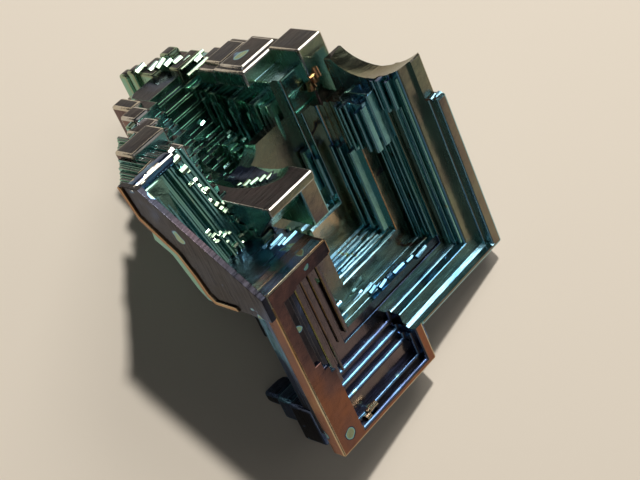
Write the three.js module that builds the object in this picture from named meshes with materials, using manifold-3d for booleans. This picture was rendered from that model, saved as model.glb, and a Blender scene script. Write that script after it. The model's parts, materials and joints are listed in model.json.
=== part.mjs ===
// Raw bismuth: one cluster of hopper crystals grown together, lying as it rests on a table.
// Millimetres, +Z up, the lowest facets on Z = 0.
//
// The cluster is built in its own crystal axes and turned into its resting pose at the end:
//   a  out of the mouth of the large hopper
//   b  across the large hopper, from its left arm to its right arm
//   c  up the arms of the large hopper
// The right foot corner of the large hopper's rim is a = b = c = 0.

import * as THREE from 'three';
import { mergeVertices } from 'three/addons/utils/BufferGeometryUtils.js';
import Module from 'manifold-3d';

const wasm = await Module();
wasm.setup();

// ---------------------------------------------------------------- driving dimensions

const RIM = 1.6; // thickness of one growth layer at the rim
const LEFT_SIDE = -27.7; // b of the left side of the large hopper
const KNEE = -13.3; // b where the foot of the large hopper steps down
const FOOT_DROP = -4.1; // c of the foot left of the knee
const RIDGE = 15.8; // c of the ridge over the left arm
const CREST = 26.2; // c of the rim of the open trough
const LAYER_TOP = 18.1; // c where the outermost layer of the right arm ends
const ARM_TOP = 22.5; // c where the layer behind it ends
const OPEN = 45; // reaches past everything, for cuts that run out of the cluster

// Resting pose: the crystal axes turned about X, then Y, then Z, in degrees.
const LEAN = [-40.1, -20.8, -41.8];
const LIFT = 2.2; // height of the rim's right foot corner above the flats the cluster rests on

// ---------------------------------------------------------------- solids

/** Closed manifold solid of a three.js geometry. */
function solid(geometry) {
  const bare = geometry.clone();
  bare.deleteAttribute('normal');
  bare.deleteAttribute('uv');
  const merged = mergeVertices(bare, 1e-5);
  return new wasm.Manifold(new wasm.Mesh({
    numProp: 3,
    vertProperties: new Float32Array(merged.attributes.position.array),
    triVerts: new Uint32Array(merged.index.array),
  }));
}

/** Box between the low and high ends of its three ranges. */
function block(a, b, c) {
  const size = [a, b, c].map(([low, high]) => high - low);
  const middle = [a, b, c].map(([low, high]) => (low + high) / 2);
  return solid(new THREE.BoxGeometry(...size).translate(...middle));
}

/** Plate across b, with an outline of [a, c] points. */
function plate(outline, [low, high]) {
  const shape = new THREE.Shape(outline.map(([a, c]) => new THREE.Vector2(a, c)));
  const slab = new THREE.ExtrudeGeometry(shape, { depth: high - low, bevelEnabled: false });
  return solid(slab.rotateX(Math.PI / 2).translate(0, high, 0));
}

/** Everything above the plane a + c = level, over a range of b. */
function aboveBevel(level, b) {
  return plate([[-OPEN, level + OPEN], [OPEN, level - OPEN], [OPEN, level + OPEN]], b);
}

const join = (solids) => solids.reduce((whole, next) => whole.add(next));

// ---------------------------------------------------------------- large hopper

const BRIDGE = -19.5; // b where the ridge over the left arm ends and the pit runs out upwards
const RIDGE_DEPTH = 1.5; // thickness of that ridge along c

// Terraces of the pit, from the rim inwards: depth below the rim, left and right wall, foot.
const PIT = [
  { depth: 1.6, left: -24.2, right: -1.3, foot: 1.0 },
  { depth: 3.7, left: -22.5, right: -3.5, foot: 1.8 },
  { depth: 6.4, left: -18.7, right: -4.7, foot: 3.4 },
  { depth: 10.2, left: -15.1, right: -7.3, foot: 6.0 },
  { depth: 12.0, left: BRIDGE, right: -9.0, foot: 10.0 },
];

// Terraces of the small pit in the dropped foot, left of the knee.
const FOOT_PIT = [
  { depth: 1.6, left: -24.2, right: -14.5, foot: -3.3, top: 4 },
  { depth: 2.9, left: -24.0, right: -14.7, foot: -0.7, top: 4 },
  { depth: 5.0, left: -23.6, right: KNEE, foot: -0.2, top: 4 },
];

// Growth layers behind the rim, each smaller than the one before it.
const RIGHT_LAYERS = [
  { a: [-3.7, -RIM], b: [-20, -1.1], c: [0.4, 22.9] },
  { a: [-6.4, -3.7], b: [-20, -2.2], c: [1.4, 21.6] },
  { a: [-8.6, -6.4], b: [-20, -3.4], c: [2.8, 21.0] },
  { a: [-10.8, -8.6], b: [-20, -4.6], c: [4.6, 20.6] },
  { a: [-13.4, -10.8], b: [-20, -5.8], c: [5.6, 20.4] },
  { a: [-10.4, -6.0], b: [-4.8, -2.3], c: [7.0, 24.0] },
  { a: [-6.0, -RIM], b: [-4.8, -2.8], c: [7.0, 23.6] },
];
const LEFT_LAYERS = [
  { a: [-3.7, -RIM], b: [-26.7, -12], c: [-3.2, 15.6] },
  { a: [-6.4, -3.7], b: [-25.6, -12], c: [-2.0, 15.4] },
  { a: [-8.6, -6.4], b: [-24.2, -12], c: [0.6, 15.4] },
  { a: [-12.0, -8.6], b: [-22.6, -12], c: [3.4, 15.4] },
];
// The foot lobe under the left arm, which reaches the table.
const FOOT_LOBE = [
  { a: [-8.4, -5.2], b: [-25.8, -21.2], c: [-6.4, -1.6] },
  { a: [-10.6, -8.2], b: [-25.4, -21.8], c: [-4.6, -1.8] },
  { a: [-12.6, -10.4], b: [-25.2, -22.4], c: [-3.2, -1.9] },
  { a: [-9.4, -5.2], b: [-23.6, -16], c: [-1.9, 3.0] },
];

const layer = ({ a, b, c }) => block(a, b, c);

function largeHopper() {
  const rim = [
    block([-RIM, 0], [KNEE, 0], [0, LAYER_TOP]),
    block([-RIM, 0], [LEFT_SIDE, KNEE], [FOOT_DROP, RIDGE]),
    block([-RIM, -1.2], [BRIDGE, -0.2], [2, ARM_TOP]),
  ];
  return join([...rim, ...[...RIGHT_LAYERS, ...LEFT_LAYERS, ...FOOT_LOBE].map(layer)]);
}

/** Room that the pits leave free: closed over by the ridge on the left, open upwards. */
function pits() {
  const under = PIT.map(({ depth, left, right, foot }) => (
    block([-depth, OPEN], [left, right], [foot, RIDGE - RIDGE_DEPTH])
  ));
  const open = PIT.map(({ depth, left, right, foot }) => (
    block([-depth, OPEN], [Math.max(left, BRIDGE), right], [foot, OPEN])
  ));
  const foot = FOOT_PIT.map((step) => (
    block([-step.depth, OPEN], [step.left, step.right], [step.foot, step.top])
  ));
  return join([...under, ...open, ...foot]);
}

// ---------------------------------------------------------------- open trough

// Blocks of the far rim, in steps from the hopper's back outwards, each down to its foot.
const FAR_RIM = [
  { a: [-14.2, -10.0], b: [-6.5, -3.0], c: [10, CREST] },
  { a: [-18.4, -14.0], b: [-10.6, -4.5], c: [24.2, CREST] },
  { a: [-21.0, -18.2], b: [-10.6, -5.0], c: [24.0, CREST] },
  { a: [-22.4, -20.8], b: [-8.6, -6.4], c: [16.0, CREST] },
  { a: [-26.2, -22.8], b: [-11.3, -7.8], c: [17, CREST] },
  { a: [-27.6, -26.0], b: [-9.6, -7.9], c: [17, CREST] },
  { a: [-28.4, -25.6], b: [-12.5, -9.4], c: [17, CREST] },
  { a: [-30.3, -28.0], b: [-13.3, -11.1], c: [18.5, CREST] },
  { a: [-26.8, -11.0], b: [-9.6, -6.0], c: [17.2, 24.4] },
];

// Growth ribs down the far wall, side by side along a below the far rim. Foot and top run
// from the first rib to the last; above the sill each rib stands further back.
const RIBS = {
  count: 14,
  from: -23.5,
  width: 0.9,
  back: -6.0,
  foot: [15.0, 10.8],
  sill: [20.4, 17.8],
  top: [24.4, 23.0],
  lowFront: -13.6,
  highFront: [-9.4, -11.2, -10.6], // fronts above the sill, repeated in turn
  stagger: [0, -0.5, -1.0], // how far tops and sills drop, repeated in turn
};

function farRibs() {
  return Array.from({ length: RIBS.count }, (_, index) => {
    const along = index / (RIBS.count - 1);
    const [foot, sill, top] = [RIBS.foot, RIBS.sill, RIBS.top].map(([first, last]) => (
      first + (last - first) * along
    ));
    const drop = RIBS.stagger[index % RIBS.stagger.length];
    const front = RIBS.highFront[index % RIBS.highFront.length];
    const low = RIBS.from + index * RIBS.width;
    const across = [low, low + RIBS.width];
    return join([
      block(across, [front, RIBS.back], [foot, top + drop]),
      block(across, [RIBS.lowFront, RIBS.back], [foot, sill + drop]),
    ]);
  });
}

// Slabs of the near wall across b: their bevelled top (a + c), back and foot.
const NEAR_WALL = [
  { b: [-21.8, -20.4], level: 10.6, back: -19.6, foot: 8.5 },
  { b: [-20.4, -19.0], level: 8.2, back: -21.2, foot: 8.5 },
  { b: [-19.0, -17.4], level: 5.8, back: -23.0, foot: 9.5 },
  { b: [-17.4, -15.6], level: 3.4, back: -25.2, foot: 12.5 },
  { b: [-15.6, -9.0], level: 1.2, back: -26.6, foot: 15.6 },
];

// Steep wall behind the ridge plate, in slabs across b: how far each stands forward.
const STEEP = {
  from: -27.2, width: 0.8, lean: 0.42, foot: [-7.4, 14.4], forward: [0, 0.35, -0.15, 0.2, 0.5, 0.1, 0.3],
};

// Underside of the near wall in a and c at its left side, and how it drops along b.
const UNDER = [[-13.8, CREST], [-13.2, 22.6], [-11.0, 18.6], [-9.6, 14.6], [-8.8, 13.4]];
const UNDER_DROP = [-1.2, -0.8];

function steepWall() {
  return STEEP.forward.map((forward, index) => {
    const low = STEEP.from + index * STEEP.width;
    const [foot, head] = [STEEP.foot[0] + forward, STEEP.foot[1]];
    const drop = low - STEEP.from;
    const under = UNDER.map(([a, c]) => [a + UNDER_DROP[0] * drop, c + UNDER_DROP[1] * drop]);
    const crest = [[under[0][0], CREST], ...under.slice(1)];
    const outline = [[foot, head], [foot - STEEP.lean * (CREST - head), CREST], ...crest];
    return plate([...outline, [foot, under.at(-1)[1]]], [low, low + STEEP.width]);
  });
}

// Lumps along the right edge of that wall, each lower and further right than the last.
const EDGE_ROW = {
  count: 6,
  start: [-11.2, -22.6, 26.0],
  step: [-0.05, 0.33, -1.05],
  size: [1.5, 1.3, 1.5],
};

function edgeRow() {
  return Array.from({ length: EDGE_ROW.count }, (_, index) => {
    const [a, b, c] = EDGE_ROW.start.map((start, axis) => start + index * EDGE_ROW.step[axis]);
    const [deep, wide, tall] = EDGE_ROW.size;
    return block([a - deep, a], [b - wide, b], [c - tall, c]);
  });
}

// Bars of the near rim, across the bevels, in steps from the ridge outwards.
const NEAR_BARS = [
  { a: [-12.9, -10.9], b: [-28.3, -22.7], c: [22.5, CREST] },
  { a: [-15.7, -12.8], b: [-25.4, -20.4], c: [19.5, CREST - 1.1] },
  { a: [-18.4, -15.6], b: [-24.3, -19.8], c: [17.5, CREST] },
  { a: [-20.6, -18.2], b: [-21.0, -18.4], c: [17.0, CREST - 0.4] },
  { a: [-22.8, -20.4], b: [-19.6, -17.6], c: [17.0, CREST] },
  { a: [-25.8, -22.6], b: [-18.2, -16.6], c: [17.0, CREST - 0.1] },
];

// Side wall on the left: its outline in a and c, and the plate set back behind it.
const SIDE_WALL = [
  [0, 13.3], [0, RIDGE], [-10.4, CREST], [-13.2, CREST], [-12.4, 22.6],
  [-9.2, 19.2], [-8.4, 17.0], [-7.8, 14.6], [-7.0, 13.8], [-3.9, 13.7],
];
const SIDE_BACK = [
  [-6, 16], [-8, 25], [-12.8, 25.8], [-13.3, 24.0], [-12.6, 22.2], [-13.2, 19.4], [-11.8, 18.2],
];

function trough() {
  const slabs = NEAR_WALL.map(({ b, level, back, foot }) => (
    block([back, -0.5], b, [foot, CREST]).subtract(aboveBevel(level, b))
  ));
  return join([
    plate(SIDE_WALL, [-28.3, -27.0]),
    plate(SIDE_BACK, [-27.6, -25.0]),
    ...slabs,
    ...steepWall(),
    ...edgeRow(),
    ...[...NEAR_BARS, ...FAR_RIM].map(layer),
    ...farRibs(),
  ]);
}

// ---------------------------------------------------------------- bridges

/** The ridge plate over the left arm. */
function ridgePlate() {
  return block([-8.2, 0], [LEFT_SIDE, BRIDGE], [RIDGE - RIDGE_DEPTH, RIDGE]);
}

// Outline of the wedge in a and c: a thin plate that juts out over a leaning underside.
const WEDGE = [
  [-12.2, 20], [-12.2, 15], [-8, 15], [-6.6, 16.1], [-4.2, 18.2], [-3.2, 19.1], [-3.2, 20],
];
const WEDGE_SIDES = [-21.6, -15.4];
const SCOOP = { centre: [-10.6, -16.6, 20.4], radii: [6.2, 2.9, 1.6] };
const PILLAR = { a: [-9, -3.3], b: [-17.6, -15.4], c: [15, 19.5] };

/** The wedge that overhangs the head of the pit, scooped on top, on a pillar at its right. */
function wedge() {
  const scoop = new THREE.SphereGeometry(1, 24, 16).scale(...SCOOP.radii).translate(...SCOOP.centre);
  return plate(WEDGE, WEDGE_SIDES).subtract(solid(scoop)).add(layer(PILLAR));
}

// ---------------------------------------------------------------- assembly

const cluster = join([largeHopper(), trough()]).subtract(pits()).add(ridgePlate()).add(wedge());

const turn = new THREE.Matrix4().makeRotationFromEuler(
  new THREE.Euler(...LEAN.map(THREE.MathUtils.degToRad), 'XYZ'),
);

/** three.js geometry of a manifold solid, flat shaded. */
function geometryOf(whole) {
  const mesh = whole.getMesh();
  const geometry = new THREE.BufferGeometry();
  geometry.setAttribute('position', new THREE.BufferAttribute(mesh.vertProperties, 3));
  geometry.setIndex(new THREE.BufferAttribute(mesh.triVerts, 1));
  return geometry;
}

/** The cluster in its resting pose, cut flat below, centred on the origin with its foot on Z = 0. */
function atRest(whole) {
  const turned = solid(geometryOf(whole).applyMatrix4(turn));
  const below = block([-2 * OPEN, 2 * OPEN], [-2 * OPEN, 2 * OPEN], [-2 * OPEN, -LIFT]);
  const flat = turned.subtract(below);
  const { min, max } = flat.boundingBox();
  return flat.translate(-(min[0] + max[0]) / 2, -(min[1] + max[1]) / 2, LIFT);
}

const geometry = geometryOf(atRest(cluster));
const crystal = new THREE.Mesh(geometry, new THREE.MeshStandardMaterial({
  color: 0x4f5f5c, roughness: 0.25, metalness: 1.0, flatShading: true,
}));
crystal.name = 'bismuth_crystal';

const group = new THREE.Group();
group.add(crystal);
export default group;
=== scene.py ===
"""Raw bismuth: a cluster of hopper crystals under an iridescent oxide film, on a pale floor.

The cluster grew as one solid. It is built in its own crystal axes, in millimetres, and
turned into its resting pose at the end:

    a  out of the mouth of the great hopper
    b  across the great hopper, from its left arm to its right arm
    c  up the arms of the great hopper

The right foot corner of the great hopper's rim is a = b = c = 0. Most of what shows are
flats facing +a, risers facing -b, and risers and tops facing +c.
"""

import json
import logging
import math
from dataclasses import dataclass, field, replace
from enum import Enum
from functools import partial
from random import Random

import bmesh
import bpy
from mathutils import Matrix, Vector

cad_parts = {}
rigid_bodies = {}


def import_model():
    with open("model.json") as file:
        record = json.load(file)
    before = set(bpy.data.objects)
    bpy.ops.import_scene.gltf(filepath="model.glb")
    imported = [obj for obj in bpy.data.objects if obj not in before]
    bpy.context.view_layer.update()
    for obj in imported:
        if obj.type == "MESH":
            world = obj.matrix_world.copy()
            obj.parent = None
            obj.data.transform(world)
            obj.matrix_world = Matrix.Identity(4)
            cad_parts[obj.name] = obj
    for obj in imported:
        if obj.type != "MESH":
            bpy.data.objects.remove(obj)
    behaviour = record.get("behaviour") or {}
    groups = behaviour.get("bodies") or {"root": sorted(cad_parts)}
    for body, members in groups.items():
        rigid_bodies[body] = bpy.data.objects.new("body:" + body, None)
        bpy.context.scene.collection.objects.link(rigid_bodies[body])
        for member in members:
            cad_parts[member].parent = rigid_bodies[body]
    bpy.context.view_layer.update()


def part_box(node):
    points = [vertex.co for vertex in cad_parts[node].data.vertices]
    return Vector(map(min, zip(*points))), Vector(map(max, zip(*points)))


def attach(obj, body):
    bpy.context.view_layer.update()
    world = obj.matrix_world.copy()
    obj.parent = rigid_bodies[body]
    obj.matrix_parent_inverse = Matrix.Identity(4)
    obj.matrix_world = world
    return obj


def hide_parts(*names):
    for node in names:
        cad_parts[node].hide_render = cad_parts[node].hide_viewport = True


log = logging.getLogger("bismuth")

Span = tuple[float, float]  # two ends along an axis, or the least and the most of a range
Triple = tuple[float, float, float]
Outline = tuple[tuple[float, float], ...]  # corners in order, in the plane of a plate
Value = object  # what a node's input takes: a node, an output socket or a plain value

MM = 0.001  # metres in a millimetre
NODE = "bismuth_crystal"  # the frame node that the finished cluster stands for

OPEN = 45.0  # reaches past everything, for pits that run out of the cluster
CREST = 26.2  # c of the rim of the open trough
RIDGE = 15.8  # c of the ridge over the left arm
BRIDGE = -19.5  # b where that ridge ends and the pit runs out upwards
BEAD_LEAN = (0.105, -0.065, 0.0)  # how beads lean, so that a bevel of each turns upwards
SQUARE_ON = 0.95  # share of a normal along one axis past which a facet faces that way
LIFT = 2.2  # height of the rim's right foot corner above the floor
LEFT_FOOT = (0.0, -27.7, -4.1)  # left foot corner of the same rim
RESTING = ((-40.1, "X"), (-20.8, "Y"), (-41.8, "Z"))  # degrees of each turn into the pose
SHARP_EDGE = 38.0  # degrees between two facets past which their edge shows as sharp
FACE_AREA_WEIGHT = 100  # lets large facets alone decide how a rounded edge is shaded
SLIVER = 1e-7  # metres below which the cut leaves nothing worth keeping
MOST_ROUNDING = 0.4  # largest radius of a rounding, as a share of what it rounds
LIP_TURNS = (0.0, 30.0, 60.0, 90.0)  # degrees at which a bench's flared lip has its corners
LEAST_BEVEL = 0.02  # smallest bevel along the foot's lip of a bench
BEVEL_SLOPE = 1.25  # how deep that bevel runs for each millimetre that it reaches down c
SEED_STEP = 7.0  # from the seed of the bars' places to that of their lengths and leans


class Growth(Enum):
    """When a piece of growth joins the cluster."""

    BODY = "body"  # bulk of the crystals, before the pits are left open
    PIT = "pit"  # room that the growth left empty
    CRUST = "crust"  # ribs, plates and lumps that stand in or over the pits
    HOLLOW = "hollow"  # shallow hollows left in the crust
    BEADS = "beads"  # small beads and ticks that grew last of all


class Axis(Enum):
    """Crystal axis that a bar grows along, as the turn that lays an upright bar on it."""

    A = (0.0, math.pi / 2, 0.0)
    B = (-math.pi / 2, 0.0, 0.0)
    C = (0.0, 0.0, 0.0)


@dataclass(frozen=True)
class Film:
    """Thickness of the oxide film on a piece of growth, by where each facet faces.

    Each number is a place on the scale of film colours, from 0 for bare silver metal
    through gold, copper, purple, blue, teal, green and olive to 1 for rose.
    """

    front: float  # facets facing +a
    side: float  # facets facing -b
    top: float  # facets facing +c
    rest: float = 0.5  # facets facing -a, +b or -c
    lip: float = 0.6  # rounded edges and slanting facets between them; where it is near 0 they are bare silver, painted highlight along the edges

    def on(self, normal: Vector) -> float:
        """Film thickness on a facet.

        Args:
            normal: outward unit normal of the facet, in crystal axes.

        Returns:
            The place on the scale of film colours.
        """
        ways = (
            (normal.x, self.front),
            (-normal.y, self.side),
            (normal.z, self.top),
            (-normal.x, self.rest),
            (normal.y, self.rest),
            (-normal.z, self.rest),
        )
        share, film = max(ways)
        return film if share > SQUARE_ON else self.lip


TERRACE = Film(front=0.88, side=0.60, top=0.55, rest=0.66, lip=0.55)
COPPER = Film(front=0.22, side=0.20, top=0.40, rest=0.36, lip=0.08)
EMERALD = Film(front=0.74, side=0.70, top=0.62, rest=0.68, lip=0.73)
# slate-blue film of the recessed left layers and the lobe under the arm, kept dark, most of all on
# -b sides, as painted shade
SLATE_WITH_PAINTED_SHADE = Film(front=0.50, side=0.44, top=0.47, rest=0.50, lip=0.50)


# ---------------------------------------------------------------- shapes


def lumped_mesh(name: str, shape: bmesh.types.BMesh) -> bpy.types.Mesh:
    """Turns a finished shape into a mesh and frees it.

    Args:
        name: name of the mesh.
        shape: the closed shape, in crystal axes and millimetres.

    Returns:
        The mesh.
    """
    bmesh.ops.recalc_face_normals(shape, faces=list(shape.faces))
    mesh = bpy.data.meshes.new(name)
    shape.to_mesh(mesh)
    shape.free()
    return mesh


def rounded(shape: bmesh.types.BMesh, radius: float, facets: int = 2) -> None:
    """Rounds every edge of a shape as slow growth rounds a crystal's edges.

    Args:
        shape: the closed shape to round.
        radius: radius of the rounding in millimetres; none when it is zero.
        facets: how many facets each rounding has; one makes it a flat bevel.
    """
    if radius > 0:
        bmesh.ops.bevel(
            shape, geom=list(shape.edges), offset=radius, segments=facets, profile=0.5,
            affect="EDGES", clamp_overlap=True,
        )


@dataclass(frozen=True)
class Block:
    """Rectangular piece of growth between the ends of its three spans."""

    a: Span
    b: Span
    c: Span
    radius: float = 0.22
    facets: int = 2

    def mesh(self, name: str) -> bpy.types.Mesh:
        """Builds the block.

        Args:
            name: name of the mesh.

        Returns:
            A closed mesh with rounded edges.
        """
        shape = bmesh.new()
        bmesh.ops.create_cube(shape, size=1.0)
        for corner in shape.verts:
            corner.co = Vector(
                low + (unit + 0.5) * (high - low)
                for unit, (low, high) in zip(corner.co, (self.a, self.b, self.c))
            )
        smallest = min(high - low for low, high in (self.a, self.b, self.c))
        rounded(shape, min(self.radius, MOST_ROUNDING * smallest), self.facets)
        return lumped_mesh(name, shape)


@dataclass(frozen=True)
class Plate:
    """Plate across b with an outline in a and c, or across c with one in a and b."""

    outline: Outline
    span: Span
    radius: float = 0.18
    across: Axis = Axis.B

    def mesh(self, name: str) -> bpy.types.Mesh:
        """Builds the plate.

        Args:
            name: name of the mesh.

        Returns:
            A closed mesh with rounded edges.
        """
        shape = bmesh.new()
        low, high = (
            [
                shape.verts.new((a, end, other) if self.across is Axis.B else (a, other, end))
                for a, other in self.outline
            ]
            for end in self.span
        )
        shape.faces.new(low)
        shape.faces.new(list(reversed(high)))
        count = len(low)
        for index in range(count):
            after = (index + 1) % count
            shape.faces.new((low[index], high[index], high[after], low[after]))
        bmesh.ops.recalc_face_normals(shape, faces=list(shape.faces))
        rounded(shape, self.radius)
        return lumped_mesh(name, shape)


@dataclass(frozen=True)
class Bench:
    """One bench of a pit: room with upright walls and a rounded lip, open towards +a."""

    floor: float  # a of the bench's floor
    lip: float  # a where its walls begin
    b: Span
    c: Span
    flare: float  # radius of the lip along its sides
    bevel: float = 0.0  # how far the bevel along the foot's lip reaches down c
    soft: bool = False  # whether that bevel is rounded

    def mesh(self, name: str) -> bpy.types.Mesh:
        """Builds the room that the bench leaves empty.

        Args:
            name: name of the mesh.

        Returns:
            A closed mesh, wider above the lip, with its far end past the cluster.
        """
        shape = bmesh.new()
        foot = max(self.bevel, LEAST_BEVEL)
        start = self.lip - BEVEL_SLOPE * foot
        levels = [(self.floor, 0.0)]
        if start < self.lip - self.flare:
            levels.append((start, 0.0))
        for turn in map(math.radians, LIP_TURNS):
            rise = self.lip - self.flare + self.flare * math.sin(turn)
            levels.append((rise, self.flare * (1 - math.cos(turn))))
        levels.append((OPEN, self.flare))
        rings = []
        for a, out in levels:
            share = min(1.0, max(0.0, (a - start) / (self.lip - start)))
            down = foot * (1 - math.sqrt(1 - share * share) if self.soft else share)
            corners = (
                (self.b[0] - out, self.c[0] - down),
                (self.b[1] + out, self.c[0] - down),
                (self.b[1] + out, self.c[1]),
                (self.b[0] - out, self.c[1]),
            )
            rings.append([shape.verts.new((a, b, c)) for b, c in corners])
        shape.faces.new(rings[0])
        shape.faces.new(rings[-1])
        for under, over in zip(rings, rings[1:]):
            for index in range(4):
                after = (index + 1) % 4
                shape.faces.new((under[index], under[after], over[after], over[index]))
        return lumped_mesh(name, shape)


@dataclass(frozen=True)
class Scoop:
    """Smooth hollow in the shape of an ellipsoid."""

    middle: Triple
    radii: Triple

    def mesh(self, name: str) -> bpy.types.Mesh:
        """Builds the room that the hollow leaves empty.

        Args:
            name: name of the mesh.

        Returns:
            A closed mesh.
        """
        shape = bmesh.new()
        bmesh.ops.create_icosphere(shape, subdivisions=4, radius=1.0)
        for point in shape.verts:
            point.co = Vector(
                middle + radius * unit
                for middle, radius, unit in zip(self.middle, self.radii, point.co)
            )
        return lumped_mesh(name, shape)


# ---------------------------------------------------------------- node trees


def put(
    tree: bpy.types.NodeTree,
    kind: str,
    settings: dict[str, str | bool] | None = None,
    **links: Value,
) -> bpy.types.Node:
    """Adds a node with its settings and links.

    Args:
        tree: the node tree.
        kind: type name of the node.
        settings: properties of the node itself.
        **links: inputs by socket name, with spaces as underscores, or by s and the
            socket's number; each is a node, whose first output is linked, an output
            socket to link, or a plain value.

    Returns:
        The new node.
    """
    node = tree.nodes.new(kind)
    for name, value in (settings or {}).items():
        setattr(node, name, value)
    for name, value in links.items():
        socket = node.inputs[int(name[1:]) if name[1:].isdigit() else name.replace("_", " ")]
        if isinstance(value, bpy.types.Node):
            value = value.outputs[0]
        if isinstance(value, bpy.types.NodeSocket):
            tree.links.new(value, socket)
        else:
            socket.default_value = value
    return node


def socketed_tree(name: str, inputs: dict[str, str]) -> tuple[bpy.types.NodeTree, bpy.types.Node]:
    """Starts a Geometry Nodes tree.

    Args:
        name: name of the tree.
        inputs: socket type of each named input.

    Returns:
        The tree and its Group Input node.
    """
    tree = bpy.data.node_groups.new(name, "GeometryNodeTree")
    tree.interface.new_socket("Geometry", in_out="INPUT", socket_type="NodeSocketGeometry")
    for label, kind in inputs.items():
        tree.interface.new_socket(label, in_out="INPUT", socket_type=f"NodeSocket{kind}")
    tree.interface.new_socket("Geometry", in_out="OUTPUT", socket_type="NodeSocketGeometry")
    return tree, tree.nodes.new("NodeGroupInput")


def closed_tree(
    tree: bpy.types.NodeTree, shape: bpy.types.Node, finish: bpy.types.NodeSocket
) -> bpy.types.NodeTree:
    """Ends a Geometry Nodes tree with real geometry and its finish.

    Args:
        tree: the tree to end.
        shape: node that makes the shape.
        finish: output socket that holds the material.

    Returns:
        The same tree.
    """
    real = put(tree, "GeometryNodeRealizeInstances", Geometry=shape)
    dressed = put(tree, "GeometryNodeSetMaterial", Geometry=real, Material=finish)
    put(tree, "NodeGroupOutput", Geometry=dressed)
    return tree


def grown(tree: bpy.types.NodeTree, values: dict[str, object], name: str) -> bpy.types.Mesh:
    """Runs a Geometry Nodes tree once and keeps its plain mesh.

    Args:
        tree: the tree to run.
        values: value of each named input.
        name: name of the mesh.

    Returns:
        The mesh that the tree makes.
    """
    carrier = bpy.data.objects.new(name, bpy.data.meshes.new(name))
    bpy.context.scene.collection.objects.link(carrier)
    modifier = carrier.modifiers.new("growth", "NODES")
    modifier.node_group = tree
    for item in tree.interface.items_tree:
        if item.item_type == "SOCKET" and item.in_out == "INPUT" and item.name in values:
            modifier[item.identifier] = values[item.name]
    seen = carrier.evaluated_get(bpy.context.evaluated_depsgraph_get())
    mesh = bpy.data.meshes.new_from_object(seen)
    mesh.name = name
    bpy.data.objects.remove(carrier)
    return mesh


def bar_bundle_tree() -> bpy.types.NodeTree:
    """Builds the tree that grows a bundle of parallel bars, each shifted from the last.

    Returns:
        The tree, with named inputs for the bundle's sizes and its seed.
    """
    kinds = {
        "Int": ("Count", "Facets", "Seed"),
        "Vector": ("Middle", "Shift", "Jitter", "Lean"),
        "Float": ("Thickness", "Width", "Length", "Tilt", "Stretch", "Rounding"),
        "Rotation": ("Lie",),
        "Material": ("Finish",),
    }
    inputs = {label: kind for kind, labels in kinds.items() for label in labels}
    tree, given = socketed_tree("Bar bundle", inputs)
    size = given.outputs
    add = partial(put, tree)
    both_ways = ({"operation": "SUBTRACT"}, {"operation": "ADD"})
    row = add(
        "GeometryNodeMeshLine", {"mode": "OFFSET"},
        Count=size["Count"], Start_Location=size["Middle"], Offset=size["Shift"],
    )
    back = add("ShaderNodeVectorMath", {"operation": "SCALE"}, s0=size["Jitter"], Scale=-1.0)
    shake = add(
        "FunctionNodeRandomValue", {"data_type": "FLOAT_VECTOR"},
        Min=back, Max=size["Jitter"], Seed=size["Seed"],
    )
    places = add("GeometryNodeSetPosition", Geometry=row, Offset=shake)
    section = add(
        "GeometryNodeCurvePrimitiveQuadrilateral", Width=size["Thickness"], Height=size["Width"]
    )
    soft = add(
        "GeometryNodeFilletCurve", {"mode": "POLY"},
        Curve=section, Count=size["Facets"], Radius=size["Rounding"], Limit_Radius=True,
    )
    foot, head = (
        add("ShaderNodeMath", {"operation": "MULTIPLY"}, s0=size["Length"], s1=share)
        for share in (-0.5, 0.5)
    )
    spine = add(
        "GeometryNodeCurvePrimitiveLine",
        Start=add("ShaderNodeCombineXYZ", Z=foot), End=add("ShaderNodeCombineXYZ", Z=head),
    )
    bar = add("GeometryNodeCurveToMesh", Curve=spine, Profile_Curve=soft, Fill_Caps=True)
    reseed = add("ShaderNodeMath", {"operation": "ADD"}, s0=size["Seed"], s1=SEED_STEP)
    short, long = (
        add("ShaderNodeMath", way, s0=1.0, s1=size["Stretch"]) for way in both_ways
    )
    reach = add("FunctionNodeRandomValue", {"data_type": "FLOAT"}, s2=short, s3=long, Seed=reseed)
    scale = add("ShaderNodeCombineXYZ", X=1.0, Y=1.0, Z=reach.outputs[1])
    even = add("ShaderNodeCombineXYZ", X=size["Tilt"], Y=size["Tilt"], Z=size["Tilt"])
    least, most = (
        add("ShaderNodeVectorMath", way, s0=size["Lean"], s1=even) for way in both_ways
    )
    lean = add(
        "FunctionNodeRandomValue", {"data_type": "FLOAT_VECTOR"},
        Min=least, Max=most, Seed=reseed,
    )
    turned = add(
        "FunctionNodeRotateRotation", {"rotation_space": "GLOBAL"},
        Rotation=size["Lie"], Rotate_By=add("FunctionNodeEulerToRotation", Euler=lean),
    )
    bars = add(
        "GeometryNodeInstanceOnPoints",
        Points=places, Instance=bar, Rotation=turned, Scale=scale,
    )
    united = {"operation": "UNION", "solver": "MANIFOLD"}
    solid = add("GeometryNodeMeshBoolean", united, Mesh_2=bars)
    return closed_tree(tree, solid, size["Finish"])


def intergrowth_tree() -> bpy.types.NodeTree:
    """Builds the tree that grows all pieces into one solid, with its pits left open.

    Returns:
        The tree, with a collection input for each stage of growth.
    """
    inputs = {stage.value: "Collection" for stage in Growth}
    tree, given = socketed_tree("Intergrowth", {**inputs, "Finish": "Material"})
    solid = None
    for stage in Growth:
        pieces = put(
            tree, "GeometryNodeCollectionInfo",
            Collection=given.outputs[stage.value], Separate_Children=True,
        )
        empty = stage in (Growth.PIT, Growth.HOLLOW)
        way = {"operation": "DIFFERENCE" if empty else "UNION", "solver": "MANIFOLD"}
        result = put(tree, "GeometryNodeMeshBoolean", way, Mesh_2=pieces)
        if solid is not None:
            base = result.inputs["Mesh 1" if empty else "Mesh 2"]
            tree.links.new(solid.outputs["Mesh"], base)
        solid = result
    return closed_tree(tree, solid, given.outputs["Finish"])


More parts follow.
